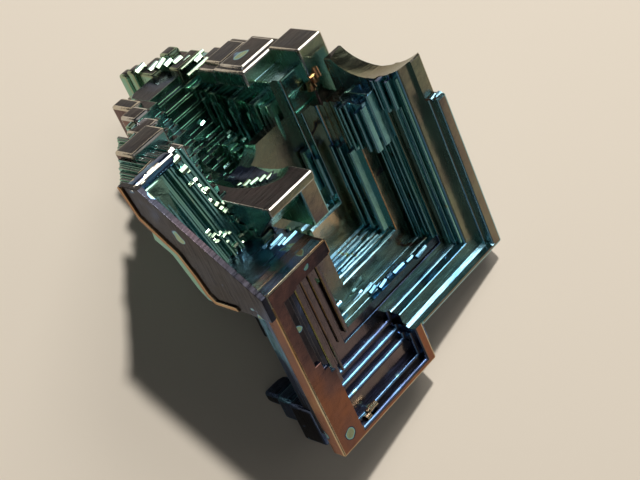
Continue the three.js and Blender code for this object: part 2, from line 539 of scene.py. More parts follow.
@dataclass(frozen=True)
class Bars:
    """Bundle of parallel growth bars."""

    count: int
    middle: Triple  # middle of the first bar
    shift: Triple  # from each bar to the next
    section: tuple[float, float]  # thickness of a bar, along a or b, and its width
    length: float
    lie: Axis
    jitter: Triple = (0.0, 0.0, 0.0)  # how far a bar may be out of place
    stretch: float = 0.0  # how much longer or shorter a bar may be, as a share
    rounding: float = 0.12
    seed: int = 1
    tilt: float = 0.0  # how far a bar may lean either way off its axis, in radians
    lean: Triple = (0.0, 0.0, 0.0)  # how far all of them lean
    facets: int = 1  # how many facets their rounded edges have

    def mesh(self, name: str) -> bpy.types.Mesh:
        """Grows the bundle.

        Args:
            name: name of the mesh.

        Returns:
            One closed mesh of all the bars.
        """
        tree = bpy.data.node_groups.get("Bar bundle") or bar_bundle_tree()
        values = {
            "Count": self.count, "Middle": self.middle, "Shift": self.shift,
            "Thickness": self.section[0], "Width": self.section[1], "Length": self.length,
            "Lie": self.lie.value, "Jitter": self.jitter, "Stretch": self.stretch,
            "Rounding": self.rounding, "Seed": self.seed, "Tilt": self.tilt,
            "Lean": self.lean, "Facets": self.facets,
        }
        return grown(tree, values, name)


# ---------------------------------------------------------------- the cluster


Piece = Block | Plate | Bench | Scoop | Bars


@dataclass
class Cluster:
    """All the pieces of growth, and the one solid that they grow into."""

    films: list[Film] = field(default_factory=list)
    stages: dict[Growth, bpy.types.Collection] = field(init=False)
    drift: float = 0.025  # how far the film of a whole piece may be off
    drift_seed: int = 83

    def __post_init__(self) -> None:
        """Makes an empty set for each stage of growth."""
        self.stages = {stage: bpy.data.collections.new(stage.value) for stage in Growth}

    def add(self, stage: Growth, film: Film, *pieces: Piece) -> None:
        """Adds pieces of growth that have the same film.

        Args:
            stage: when they join the cluster.
            film: oxide film on their facets.
            *pieces: the pieces to build.
        """
        for piece in pieces:
            name = f"{stage.value}_{len(self.films):03d}"
            mesh = piece.mesh(name)
            mark = mesh.attributes.new("grain", "INT", "FACE")
            mark.data.foreach_set("value", [len(self.films)] * len(mesh.polygons))
            self.films.append(film)
            self.stages[stage].objects.link(bpy.data.objects.new(name, mesh))

    def solid(self) -> bpy.types.Mesh:
        """Grows every piece together.

        Returns:
            One closed mesh in crystal axes and millimetres, each face marked with its piece.
        """
        values = {stage.value: collection for stage, collection in self.stages.items()}
        mesh = grown(intergrowth_tree(), values, "raw_bismuth")
        for stage in self.stages.values():
            for piece in list(stage.objects):
                spare = piece.data
                bpy.data.objects.remove(piece)
                bpy.data.meshes.remove(spare)
            bpy.data.collections.remove(stage)
        return mesh

    def shed(self, mesh: bpy.types.Mesh) -> int:
        """Sheds whatever grew without touching the cluster, so that one solid is left.

        Args:
            mesh: the mesh to clean.

        Returns:
            How many loose pieces it shed.
        """
        shape = bmesh.new()
        shape.from_mesh(mesh)
        shape.faces.ensure_lookup_table()
        loose = set(shape.faces)
        groups = []
        while loose:
            group, front = set(), [loose.pop()]
            while front:
                face = front.pop()
                group.add(face)
                for edge in face.edges:
                    for beside in edge.link_faces:
                        if beside in loose:
                            loose.remove(beside)
                            front.append(beside)
            groups.append(group)
        groups.sort(key=len, reverse=True)
        spare = [face for group in groups[1:] for face in group]
        bmesh.ops.delete(shape, geom=spare, context="FACES")
        shape.to_mesh(mesh)
        shape.free()
        return len(groups) - 1

    def coat(self, mesh: bpy.types.Mesh) -> None:
        """Writes the film thickness of each face into the mesh.

        Args:
            mesh: the solid in crystal axes, its faces marked with their pieces.
        """
        grains = [0] * len(mesh.polygons)
        mesh.attributes["grain"].data.foreach_get("value", grains)
        chance = Random(self.drift_seed)
        drift = [chance.uniform(-self.drift, self.drift) for _ in self.films]
        values = [
            self.films[grain].on(face.normal) + drift[grain]
            for grain, face in zip(grains, mesh.polygons)
        ]
        film = mesh.attributes.new("film", "FLOAT", "FACE")
        film.data.foreach_set("value", values)
        mesh.attributes.remove(mesh.attributes["grain"])


@dataclass(frozen=True)
class Step:
    """One terrace of the great pit: its depth, side walls and foot, and its benches."""

    depth: float
    left: float
    right: float
    foot: float
    benches: int  # small steps that its risers are broken into
    spread: tuple[float, float]  # width of those steps on the right and at the foot
    flare: float = 0.2  # radius of each bench's lip along its sides
    bevel: float = 0.18  # reach of the flat bevel along the lip of its foot
    film: Film = TERRACE


@dataclass
class GreatHopper:
    """The great hopper: layers of growth around a terraced pit."""

    right_rim: Block = Block((-1.6, 0.0), (-13.3, 0.0), (0.0, 18.1), 0.22)
    left_rim: Block = Block((-1.6, 0.0), (-27.7, -13.3), (-4.1, 15.8), 0.2)
    high_rim: Block = Block((-1.6, -1.2), (-19.5, -0.2), (2.0, 22.5), 0.12)
    right_layers: tuple[Block, ...] = (
        Block((-3.8, -1.5), (-19.3, -1.1), (0.4, 22.2)),
        Block((-6.5, -3.6), (-19.3, -2.2), (1.4, 21.6)),
        Block((-8.7, -6.3), (-19.3, -3.4), (2.8, 21.0)),
        Block((-10.9, -8.5), (-19.3, -4.6), (4.6, 20.6)),
        Block((-13.4, -10.7), (-19.3, -5.8), (5.6, 20.4)),
    )
    head: Plate = Plate(
        ((-9.1, -4.8), (-9.1, -2.5), (-4.9, -1.9), (-1.3, -0.2), (-1.3, -4.2)),
        (7.0, 24.2),
        0.05,
        Axis.C,
    )
    head_scoop: Scoop = Scoop((-4.2, -1.4, 26.0), (5.2, 7.0, 4.2))
    seams: tuple[Block, ...] = (
        Block((-1.7, -1.35), (-23.9, -23.2), (1.4, 14.4), 0.1, 1),
        Block((-1.7, -1.42), (-22.9, -22.6), (2.2, 14.4), 0.08, 1),
        Block((-3.9, -3.4), (-22.1, -21.4), (2.6, 14.4), 0.12, 1),
        Block((-3.9, -3.5), (-20.6, -20.3), (3.2, 14.4), 0.08, 1),
        Block((-3.9, -3.45), (-19.4, -18.9), (3.4, 14.4), 0.12, 1),
    )
    left_layers: tuple[Block, ...] = (
        Block((-3.8, -1.5), (-26.7, -12.0), (-3.2, 15.6)),
        Block((-6.5, -3.6), (-25.6, -12.0), (-2.0, 15.4)),
        Block((-8.7, -6.3), (-24.2, -12.0), (0.6, 15.4)),
        Block((-12.0, -8.5), (-22.6, -12.0), (3.4, 15.4)),
    )
    lobe: tuple[Block, ...] = (
        Block((-8.4, -5.2), (-25.8, -21.2), (-6.4, -1.6), 0.35),
        Block((-10.6, -8.2), (-25.4, -21.8), (-4.6, -1.8), 0.35),
        Block((-12.6, -10.4), (-25.2, -22.4), (-3.2, -1.9), 0.3),
        Block((-9.4, -5.2), (-23.6, -16.0), (-1.9, 3.0), 0.3),
    )
    steps: tuple[Step, ...] = (
        Step(1.6, -24.2, -1.45, 0.7, 2, (0.7, 0.0), 0.2, 0.28),
        Step(3.7, -22.5, -3.5, 1.9, 2, (0.6, 0.2), 0.4, 0.14),
        Step(6.4, -18.7, -4.7, 3.5, 3, (0.5, 0.3), 0.35, 0.07),
        Step(10.2, -15.1, -7.3, 6.0, 5, (0.7, 1.1), 0.3, 0.17, Film(0.11, 0.60, 0.55, 0.66, 0.55)),
        Step(12.0, -19.5, -9.0, 10.0, 2, (0.4, 0.4), 0.2, 0.2, Film(0.90, 0.66, 0.6, 0.66, 0.6)),
    )
    shallow: tuple[Bench, ...] = (
        Bench(-0.3, 0.0, (-26.2, -23.0), (6.2, 14.0), 0.12, 0.03),
        Bench(-0.7, -0.3, (-25.4, -23.0), (5.2, 14.0), 0.16, 0.03),
        Bench(-1.1, -0.7, (-24.8, -23.0), (4.4, 14.1), 0.16, 0.03),
    )
    ridge_depth: float = 1.5  # from the ridge down to the head of the terraces under it
    right_film: Film = Film(0.93, 0.62, 0.30, 0.45, 0.60)
    # the lips of high_film, seam_film and head_film, near 0, are bare silver: painted highlight
    # along the edges of the high rim, the seams and the head
    high_film: Film = Film(0.88, 0.60, 0.08, 0.45, 0.05)
    seam_film: Film = Film(0.99, 0.30, 0.35, 0.32, 0.03)
    layer_film: Film = Film(0.84, 0.62, 0.34, 0.50, 0.68)
    head_film: Film = Film(0.90, 0.62, 0.40, 0.55, 0.02)
    scoop_film: Film = Film(0.88, 0.80, 0.92, 0.86, 0.90)
    shallow_film: Film = Film(0.31, 0.30, 0.40, 0.36, 0.24)

    def grow(self, cluster: Cluster) -> None:
        """Grows the layers and leaves the pit open.

        Args:
            cluster: the cluster to grow on.
        """
        cluster.add(Growth.BODY, self.right_film, self.right_rim)
        cluster.add(Growth.BODY, COPPER, self.left_rim)
        cluster.add(Growth.CRUST, self.seam_film, *self.seams)
        cluster.add(Growth.BODY, self.high_film, self.high_rim)
        cluster.add(Growth.BODY, self.layer_film, *self.right_layers)
        cluster.add(Growth.BODY, self.head_film, self.head)
        cluster.add(Growth.BODY, SLATE_WITH_PAINTED_SHADE, *self.left_layers, *self.lobe)
        above = 0.0
        for step in self.steps:
            self.open_step(cluster, step, above)
            above = step.depth
        cluster.add(Growth.PIT, self.shallow_film, *self.shallow)
        cluster.add(Growth.HOLLOW, self.scoop_film, self.head_scoop)

    def open_step(self, cluster: Cluster, step: Step, above: float) -> None:
        """Leaves one terrace of the pit open, bench by bench.

        Args:
            cluster: the cluster to open.
            step: the terrace.
            above: depth of the terrace that it starts from.
        """
        deep = (step.depth - above) / step.benches
        for bench in range(step.benches):
            inward = (bench + 0.5) / step.benches - 0.5
            right = step.right - step.spread[0] * inward
            foot = step.foot + step.spread[1] * inward
            lip = -(above + bench * deep)
            tops = ((step.left, RIDGE - self.ridge_depth), (max(step.left, BRIDGE), OPEN))
            flare = min(step.flare, MOST_ROUNDING * deep)
            for left, top in tops:
                room = Bench(lip - deep, lip, (left, right), (foot, top), flare, step.bevel)
                cluster.add(Growth.PIT, step.film, room)


@dataclass
class TerraceRibs:
    """Ribs that stand on the risers of the great pit."""

    backing: tuple[Block, ...] = (
        Block((-8.4, -4.2), (-6.6, -4.3), (16.4, 20.7), 0.1),
        Block((-6.4, -3.9), (-5.7, -3.2), (15.6, 21.3), 0.1),
    )
    right: tuple[Bars, ...] = (
        # lower tier and upper tiers of the fourth riser, stacked inwards
        Bars(3, (-7.2, -7.2, 11.0), (-1.1, -0.1, 0.1), (0.5, 1.4), 9.6, Axis.C,
             (0.05, 0.12, 0.3), 0.05, 0.2, 3, facets=3),
        Bars(6, (-4.3, -6.5, 18.2), (-0.68, -0.2, 0.0), (0.42, 0.9), 4.8, Axis.C,
             (0.06, 0.2, 0.4), 0.1, 0.2, 5, facets=3),
        Bars(3, (-4.1, -5.5, 18.4), (-0.7, -0.1, 0.0), (0.36, 1.0), 5.4, Axis.C,
             (0.06, 0.15, 0.3), 0.1, 0.18, 6, facets=3),
        Bars(3, (-2.6, -3.9, 20.2), (-0.7, -0.2, 0.1), (0.4, 0.9), 3.4, Axis.C,
             (0.06, 0.12, 0.2), 0.1, 0.2, 8, facets=3),
        # fine ribs on the outer risers
        Bars(3, (-2.0, -3.35, 12.0), (-0.62, -0.12, 0.0), (0.26, 0.5), 20.0, Axis.C,
             (0.05, 0.05, 0.4), 0.04, 0.12, 11, facets=3),
        Bars(4, (-4.1, -4.6, 11.6), (-0.62, -0.1, 0.1), (0.24, 0.5), 16.5, Axis.C,
             (0.06, 0.05, 0.5), 0.06, 0.12, 13, facets=3),
        # stub at the head of the innermost terrace
        Bars(2, (-10.6, -8.9, 13.4), (-0.9, -0.5, 0.6), (0.7, 1.0), 4.6, Axis.C,
             (0.0, 0.0, 0.2), 0.05, 0.16, 17),
    )
    foot: tuple[Bars, ...] = (
        # broken beads along the third foot riser, and long bars along the fourth
        Bars(9, (-3.85, -7.6, 3.35), (-0.3, -0.95, 0.0), (0.7, 0.5), 1.3, Axis.B,
             (0.3, 0.5, 0.2), 0.4, 0.2, 19, 0.1, BEAD_LEAN),
        Bars(8, (-4.3, -11.6, 3.6), (-0.24, -0.75, 0.1), (0.6, 0.5), 0.9, Axis.B,
             (0.5, 0.6, 0.3), 0.4, 0.18, 23, 0.12, BEAD_LEAN),
        Bars(6, (-6.8, -11.4, 5.75), (-0.56, -0.2, 0.11), (0.3, 0.34), 5.2, Axis.B,
             (0.06, 0.4, 0.04), 0.25, 0.12, 29),
    )
    backing_film: Film = Film(0.62, 0.62, 0.50, 0.60, 0.60)
    right_film: Film = Film(0.67, 0.62, 0.50, 0.60, 0.63)
    foot_film: Film = Film(0.54, 0.54, 0.52, 0.50, 0.545)

    def grow(self, cluster: Cluster) -> None:
        """Grows the ribs.

        Args:
            cluster: the cluster to grow on.
        """
        cluster.add(Growth.CRUST, self.backing_film, *self.backing)
        cluster.add(Growth.CRUST, self.right_film, *self.right)
        cluster.add(Growth.CRUST, self.foot_film, *self.foot)


@dataclass
class SmallPit:
    """The small pit in the dropped foot of the great hopper."""

    benches: tuple[Bench, ...] = (
        Bench(-0.75, 0.0, (-24.2, -14.5), (-3.3, 4.0), 0.3, 0.32, True),
        Bench(-1.6, -0.75, (-24.2, -14.7), (-2.7, 4.0), 0.3, 0.2, True),
        Bench(-2.3, -1.6, (-24.0, -14.9), (-0.7, 4.0), 0.3, 0.36, True),
        Bench(-3.0, -2.3, (-23.8, -14.7), (0.25, 4.0), 0.3, 0.36, True),
        Bench(-3.7, -3.0, (-23.6, -14.5), (1.0, 4.0), 0.3, 0.36, True),
        Bench(-3.9, -3.7, (-19.8, -4.5), (2.5, 14.2), 0.1, 0.06, True),
    )
    # beads at the foot of the small pit; their pale silver-gold film is painted highlight that
    # makes their glints show white
    bright_beads: Bars = Bars(
        4, (-0.55, -23.1, -2.95), (-0.05, 0.4, 0.05), (0.6, 0.5), 0.6, Axis.B,
        (0.12, 0.08, 0.2), 0.2, 0.2, 101, 0.12, BEAD_LEAN, 2,
    )
    film: Film = Film(0.99, 0.50, 0.46, 0.45, 0.51)
    painted_highlight_film: Film = Film(0.10, 0.12, 0.10, 0.2, 0.09)

    def grow(self, cluster: Cluster) -> None:
        """Leaves the small pit open.

        Args:
            cluster: the cluster to open.
        """
        cluster.add(Growth.PIT, self.film, *self.benches)
        cluster.add(Growth.BEADS, self.painted_highlight_film, self.bright_beads)


@dataclass
class Trough:
    """The open trough behind the great hopper, between its far and its near wall."""

    far_rim: tuple[Block, ...] = (
        Block((-14.2, -10.0), (-6.5, -3.0), (10.0, CREST), 0.22),
        Block((-18.4, -14.0), (-10.6, -4.5), (24.2, CREST - 0.2), 0.3),
        Block((-17.9, -14.6), (-10.0, -5.0), (25.0, CREST), 0.25),
        Block((-21.0, -18.2), (-10.6, -5.0), (24.0, CREST - 0.4), 0.3),
        Block((-20.6, -18.0), (-9.6, -5.8), (24.6, CREST - 0.1), 0.25),
        Block((-22.4, -20.8), (-8.6, -6.4), (16.0, CREST - 0.6), 0.3),
        Block((-24.4, -22.8), (-11.3, -7.8), (17.0, CREST - 0.2), 0.25),
        Block((-26.2, -24.2), (-10.9, -7.8), (17.0, CREST - 0.5), 0.25),
        Block((-27.6, -26.0), (-9.6, -7.9), (17.0, CREST), 0.3),
        Block((-28.4, -25.6), (-12.5, -9.4), (17.0, CREST - 0.4), 0.3),
        Block((-29.2, -28.0), (-13.0, -11.4), (18.5, CREST), 0.3),
        Block((-30.3, -29.0), (-13.3, -11.9), (18.5, CREST - 0.3), 0.3),
    )
    far_backing: Block = Block((-26.8, -11.0), (-9.6, -6.0), (17.2, 24.4), 0.2)
    near_corner: Block = Block((-12.7, -11.3), (-28.3, -22.7), (24.9, CREST), 0.5, 3)
    near_rim: tuple[Block, ...] = (
        Block((-15.7, -12.8), (-25.4, -20.4), (19.5, CREST - 1.1), 0.3),
        Block((-18.4, -15.6), (-24.3, -19.8), (17.5, CREST), 0.3),
        Block((-20.6, -18.2), (-21.0, -18.4), (17.0, CREST - 0.4), 0.3),
        Block((-22.8, -20.4), (-19.6, -17.6), (17.0, CREST), 0.3),
        Block((-25.8, -22.6), (-18.2, -16.6), (17.0, CREST - 0.1), 0.3),
    )
    near_wall: tuple[tuple[Span, float, float, float], ...] = (
        # span across b, level a + c of the bevelled top, back and foot of each slab
        ((-21.8, -20.4), 10.6, -19.6, 8.5),
        ((-20.4, -19.0), 8.2, -21.2, 8.5),
        ((-19.0, -17.4), 5.8, -23.0, 9.5),
        ((-17.4, -15.6), 3.4, -25.2, 12.5),
        ((-15.6, -9.0), 1.2, -26.6, 15.6),
    )
    slab_front: float = -0.5  # a of the front of a slab that reaches furthest out
    slab_radius: float = 0.07
    tread: Span = (0.5, 1.1)  # least and most that a small step of that top goes in or up
    tread_seed: int = 21
    tread_room: tuple[float, float] = (1.5, 1.2)  # along a and c, left for the last step
    orange_lump: Bars = Bars(
        5, (-10.3, -6.5, 22.0), (0.05, 0.22, 0.3), (0.8, 0.8), 0.9, Axis.C,
        (0.1, 0.3, 0.2), 0.2, 0.3, 97, 0.4, facets=2,
    )
    beads: tuple[Bars, ...] = (
        # beads along the far crest, two long ones across it, and beads along the near crest
        Bars(8, (-22.4, -8.8, 25.7), (-0.95, -0.5, 0.0), (0.8, 0.8), 1.1, Axis.B,
             (0.25, 0.3, 0.15), 0.3, 0.26, 73, 0.1, BEAD_LEAN),
        Bars(2, (-20.95, -10.0, 25.75), (-1.9, 0.9, -0.1), (0.4, 0.4), 3.4, Axis.B,
             (0.1, 0.3, 0.1), 0.2, 0.14, 79, 0.03),
        Bars(6, (-16.6, -24.0, 25.4), (-0.9, 0.9, 0.0), (0.7, 0.7), 0.9, Axis.B,
             (0.3, 0.3, 0.2), 0.3, 0.26, 83, 0.1, BEAD_LEAN, 2),
    )
    far_film: Film = Film(0.84, 0.72, 0.39, 0.5, 0.80)
    far_film_step: float = 0.015  # from a block's top to the next one's, in runs of three
    silver_blocks: int = 6  # how many blocks of the far rim, from the first, have bare-silver lips: painted highlight along their edges
    painted_highlight_lip: float = 0.01
    corner_film: Film = Film(0.52, 0.50, 0.50, 0.16, 0.50)
    # the near rim's lip of 0.02 is bare silver: painted highlight along its edges
    near_film: Film = Film(0.68, 0.30, 0.40, 0.16, 0.02)
    lump_film: Film = Film(0.19, 0.18, 0.2, 0.2, 0.19)
    bead_film: Film = Film(0.79, 0.74, 0.60, 0.6, 0.80)
    slab_film: Film = Film(0.70, 0.66, 0.41, 0.6, 0.72)
    curtain_film: Film = Film(0.72, 0.68, 0.66, 0.66, 0.72)
    rib_count: int = 14
    rib_from: float = -23.5  # a of the first rib
    rib_width: float = 0.9
    rib_radius: float = 0.14
    rib_fronts: Triple = (-9.4, -11.2, -10.6)  # b of the fronts of the high parts, in turn
    rib_drops: Triple = (0.0, -0.5, -1.0)  # how much lower a rib ends, in turn
    low_front: float = -13.6  # b of the fronts of the low parts
    rib_back: float = -6.0  # b of all their backs
    rib_feet: Span = (15.0, -4.2)  # c at the first rib, and its change to the last one
    rib_sills: Span = (20.4, -2.6)  # the same for the tops of the low parts
    rib_tops: Span = (24.4, -1.4)  # and for the tops of the high parts
    curtain: tuple[Bars, ...] = (
        # two rows of fine ribs in front of the coarse ones, then bright lumps on them
        Bars(20, (-23.3, -11.5, 19.6), (0.62, 0.03, -0.1), (0.26, 0.5), 7.6, Axis.C,
             (0.1, 0.5, 0.5), 0.15, 0.12, 31, 0.08),
        Bars(15, (-22.8, -13.7, 17.4), (0.72, 0.0, -0.16), (0.34, 0.4), 5.4, Axis.C,
             (0.12, 0.25, 0.4), 0.2, 0.14, 37, 0.08),
        Bars(16, (-22.4, -13.8, 17.9), (0.62, 0.0, -0.26), (0.5, 0.6), 0.8, Axis.B,
             (0.3, 0.3, 0.7), 0.3, 0.18, 41, 0.14, BEAD_LEAN),
        Bars(14, (-21.8, -12.2, 20.6), (0.66, 0.0, -0.22), (0.45, 0.5), 0.7, Axis.B,
             (0.3, 0.5, 0.9), 0.3, 0.16, 59, 0.14, BEAD_LEAN),
        Bars(10, (-19.0, -15.2, 16.2), (0.8, -0.05, -0.3), (0.5, 0.6), 0.8, Axis.B,
             (0.3, 0.5, 0.5), 0.3, 0.16, 71, 0.14, BEAD_LEAN),
    )

    def grow(self, cluster: Cluster) -> None:
        """Grows both walls of the trough and their rims.

        Args:
            cluster: the cluster to grow on.
        """
        for index, block in enumerate(self.far_rim):
            top = self.far_film.top + self.far_film_step * (index % 3)
            lip = self.painted_highlight_lip if index < self.silver_blocks else self.far_film.lip
            cluster.add(Growth.BODY, replace(self.far_film, top=top, lip=lip), block)
        cluster.add(Growth.BODY, EMERALD, self.far_backing)
        cluster.add(Growth.BODY, self.corner_film, self.near_corner)
        cluster.add(Growth.BODY, self.near_film, *self.near_rim)
        cluster.add(Growth.BEADS, self.lump_film, self.orange_lump)
        cluster.add(Growth.BEADS, self.bead_film, *self.beads)
        chance = Random(self.tread_seed)
        for b, *place in self.near_wall:
            slab = Plate(self.stepped_outline(*place, chance), b, self.slab_radius)
            cluster.add(Growth.BODY, self.slab_film, slab)
        cluster.add(Growth.BODY, EMERALD, *self.far_ribs())
        cluster.add(Growth.CRUST, self.curtain_film, *self.curtain)

    def stepped_outline(self, level: float, back: float, foot: float, chance: Random) -> Outline:
        """Outlines a slab of the near wall, its bevelled top broken into small steps.

        Args:
            level: a + c of the bevel.
            back: a of the slab's back.
            foot: c of its foot.
            chance: source of the sizes of the steps.

        Returns:
            The outline in a and c.
        """
        a, c = min(self.slab_front, level - foot), max(foot, level - self.slab_front)
        outline = [(back, foot), (a, foot)]
        if c > foot:
            outline.append((a, c))
        while a > back + self.tread_room[0] and c < CREST - self.tread_room[1]:
            tread, riser = chance.uniform(*self.tread), chance.uniform(*self.tread)
            outline += [(a - tread, c), (a - tread, c + riser)]
            a, c = a - tread, c + riser
        return *outline, (back, c)

    def far_ribs(self) -> list[Block]:
        """Shapes the ribs that run down the far wall, each in a high and a low part.

        Returns:
            The parts of all the ribs.
        """
        parts = []
        for index in range(self.rib_count):
            along = index / (self.rib_count - 1)
            foot, sill, top = (
                start + change * along
                for start, change in (self.rib_feet, self.rib_sills, self.rib_tops)
            )
            drop = self.rib_drops[index % 3]
            low = self.rib_from + index * self.rib_width
            width = (low, low + self.rib_width)
            for front, end in ((self.rib_fronts[index % 3], top), (self.low_front, sill)):
                depth = (front, self.rib_back)
                parts.append(Block(width, depth, (foot, end + drop), self.rib_radius))
        return parts


# lower edge of the wall outside the steep one, in a and c
WALL_FOOT = (
    (-13.2, CREST), (-12.4, 22.6), (-9.2, 19.2), (-8.4, 17.0), (-7.8, 14.6), (-7.0, 13.8),
    (-3.9, 13.7),
)


@dataclass
class LeftWall:
    """The steep wall behind the ridge plate, the wall outside it, and their lumpy edge."""

    side: Plate = Plate(
        ((0.0, 13.3), (0.0, RIDGE), (-10.4, CREST), *WALL_FOOT), (-28.3, -27.7), 0.04
    )
    low_ledge: Plate = Plate(
        (
            *WALL_FOOT, (-4.2, 14.2), (-6.7, 14.3), (-7.3, 15.0), (-7.9, 17.2), (-8.8, 19.5),
            (-12.0, 23.0), (-12.6, CREST),
        ),
        (-28.5, -28.0),
        0.12,
    )
    behind: Plate = Plate(
        (
            (-9.4, 16.0), (-11.2, 25.0), (-12.8, 25.8), (-13.3, 24.0), (-12.6, 22.2),
            (-13.2, 19.4), (-11.8, 18.2),
        ),
        (-27.6, -25.0),
        0.15,
    )
    back: Outline = (  # back of the outermost slab, from its top down, in a and c
        (-13.8, CREST), (-13.2, 22.6), (-11.0, 18.6), (-9.6, 14.6), (-8.8, 13.4)
    )
    back_shift: tuple[float, float] = (-1.2, -0.8)  # along a and c, for each millimetre of b
    slab_count: int = 26
    slab_from: float = -27.9
    slab_width: float = 0.253
    slab_top: float = 25.5
    slab_radius: float = 0.05
    slab_seed: int = 5
    uneven_foot: Span = (-0.25, 0.5)  # how far the foot of a slab may be out of line
    uneven_top: Span = (-0.15, 0.15)
    foot: tuple[float, float] = (-7.4, 14.4)  # a and c of the foot of the slabs' fronts
    lean: float = 0.42  # how far a front leans back for each millimetre up c
    sparkle: tuple[Bars, ...] = (
        # two large lumps and a run of small ones down the edge of the wall
        Bars(2, (-11.6, -22.8, 25.2), (0.4, 0.1, -1.1), (0.8, 0.8), 0.8, Axis.B,
             (0.05, 0.1, 0.05), 0.1, 0.26, 89, 0.06, BEAD_LEAN),
        Bars(22, (-11.3, -22.8, 23.6), (0.15, 0.07, -0.3), (0.5, 0.55), 0.6, Axis.B,
             (0.3, 0.35, 0.35), 0.4, 0.2, 91, 0.14, BEAD_LEAN),
        # beads scattered over the foot of the wall
        Bars(20, (-8.1, -22.5, 16.2), (-0.05, -0.13, 0.12), (0.4, 0.4), 0.5, Axis.B,
             (0.2, 0.6, 0.7), 0.3, 0.15, 103, 0.14, BEAD_LEAN),
    )
    crown: tuple[Bars, ...] = (
        # two rows of beads along the top of the wall
        Bars(8, (-11.3, -27.9, 25.9), (-0.1, 0.78, 0.0), (0.6, 0.5), 0.7, Axis.B,
             (0.15, 0.15, 0.06), 0.25, 0.2, 47, 0.1, BEAD_LEAN),
        Bars(6, (-12.3, -27.6, 25.9), (-0.15, 0.95, 0.02), (0.4, 0.4), 0.9, Axis.B,
             (0.15, 0.2, 0.1), 0.3, 0.16, 53, 0.1, BEAD_LEAN, 2),
    )
    side_film: Film = Film(0.40, 0.43, 0.40, 0.6, 0.40)
    ledge_film: Film = Film(0.16, 0.15, 0.42, 0.5, 0.10)
    slab_film: Film = Film(0.68, 0.66, 0.4, 0.66, 0.68)
    sparkle_film: Film = Film(0.76, 0.70, 0.66, 0.6, 0.76)
    # bare silver on the fronts, tops and lips of the crown beads: painted highlight
    crown_highlight_film: Film = Film(0.06, 0.50, 0.05, 0.5, 0.04)

    def grow(self, cluster: Cluster) -> None:
        """Grows the wall.

        Args:
            cluster: the cluster to grow on.
        """
        cluster.add(Growth.BODY, self.side_film, self.side)
        cluster.add(Growth.BODY, self.ledge_film, self.low_ledge)
        cluster.add(Growth.BODY, EMERALD, self.behind)
        chance = Random(self.slab_seed)
        slabs = (self.slab(index, chance) for index in range(self.slab_count))
        cluster.add(Growth.BODY, self.slab_film, *slabs)
        cluster.add(Growth.BEADS, self.sparkle_film, *self.sparkle)
        cluster.add(Growth.BEADS, self.crown_highlight_film, *self.crown)

    def slab(self, index: int, chance: Random) -> Plate:
        """Shapes one of the thin slabs that the steep wall is made of.

        Args:
            index: which slab, from the outermost.
            chance: source of what puts its foot and its top out of line.

        Returns:
            The slab.
        """
        low = self.slab_from + index * self.slab_width
        foot, head = self.foot[0] + chance.uniform(*self.uneven_foot), self.foot[1]
        top = self.slab_top + chance.uniform(*self.uneven_top)
        along = low - self.slab_from
        (back, _), *rest = (
            (a + self.back_shift[0] * along, c + self.back_shift[1] * along)
            for a, c in self.back
        )
        outline = (
            (foot, head), (foot - self.lean * (top - head), top), (back, top), *rest,
            (foot, rest[-1][1]),
        )
        return Plate(outline, (low, low + self.slab_width), self.slab_radius)


@dataclass
class SilverHighlightEdges:
    """Thin beads along the sharpest edges, bare silver: painted highlight, so that the glints
    along those edges show white.
    """

    edges: tuple[tuple[float, Span, float], ...] = (
        # a, span of b and c of each bead
        (-0.14, (-27.3, BRIDGE - 0.2), RIDGE - 0.12),
        (-3.3, (-21.4, -15.6), 19.88),
        (-14.15, (-10.3, -4.8), CREST - 0.32),
        (-14.75, (-9.7, -5.2), CREST - 0.12),
        (-10.15, (-6.3, -3.2), CREST - 0.12),
        (-11.25, (-28.0, -23.0), CREST - 0.12),
    )
    section: tuple[float, float] = (0.26, 0.26)
    spot: Bars = Bars(  # blue spot on the head of the right rim
        2, (-0.6, -0.5, 17.95), (-0.3, -0.4, 0.0), (0.7, 0.5), 0.8, Axis.B,
        rounding=0.2, tilt=0.04, lean=BEAD_LEAN,
    )
    # bare silver all over: painted highlight
    film: Film = Film(0.02, 0.05, 0.05, 0.05, 0.01)
    spot_film: Film = Film(0.5, 0.5, 0.5, 0.5, 0.55)

    def grow(self, cluster: Cluster) -> None:
        """Grows the beads.

        Args:
            cluster: the cluster to grow on.
        """
        for a, (low, high), c in self.edges:
            bead = Bars(
                1, (a, (low + high) / 2, c), (0.0, 0.0, 0.0), self.section, high - low, Axis.B,
                lean=(0.0, BEAD_LEAN[1], 0.0),
            )
            cluster.add(Growth.BEADS, self.film, bead)
        cluster.add(Growth.BEADS, self.spot_film, self.spot)


